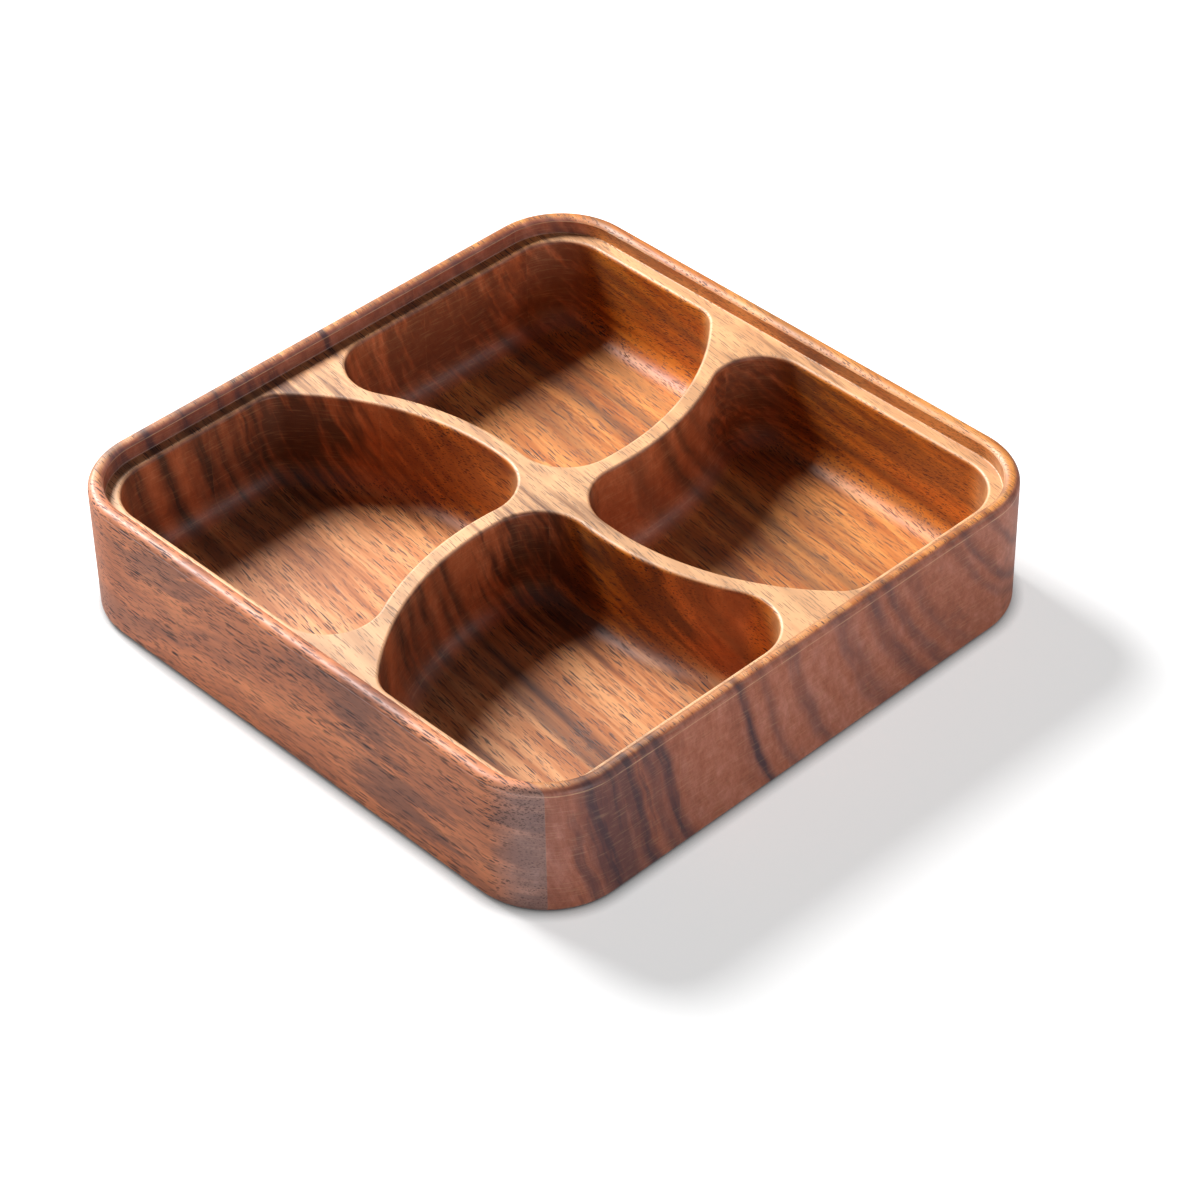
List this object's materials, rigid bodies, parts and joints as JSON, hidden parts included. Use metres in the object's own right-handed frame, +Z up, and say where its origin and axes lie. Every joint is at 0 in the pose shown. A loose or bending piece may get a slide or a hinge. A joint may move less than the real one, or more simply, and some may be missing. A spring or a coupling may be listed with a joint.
{
  "type": "divided serving tray",
  "caption": "Square wooden serving tray with a pinwheel of curved pockets, a raised rim and a stepped seat for a lid, edge-glued from solid boards.",
  "frame": {"origin": "middle of the base, on the surface that the tray stands on", "axes": "+Z up out of the pockets, +X along the boards and their grain, -Y towards the front edge strip"},
  "size_m": [0.24, 0.24, 0.052],
  "materials": {
    "front_strip_wood": "satin oil over orange-brown flat-sawn acacia with long dark pores",
    "board_wood": "satin oil over golden-brown acacia with dark growth bands and dark pores"
  },
  "bodies": {
    "root": {"front_edge_strip": "front_strip_wood", "board_1": "board_wood", "board_2": "board_wood", "board_3": "board_wood", "board_4": "board_wood", "back_edge_strip": "board_wood"}
  },
  "joints": []
}
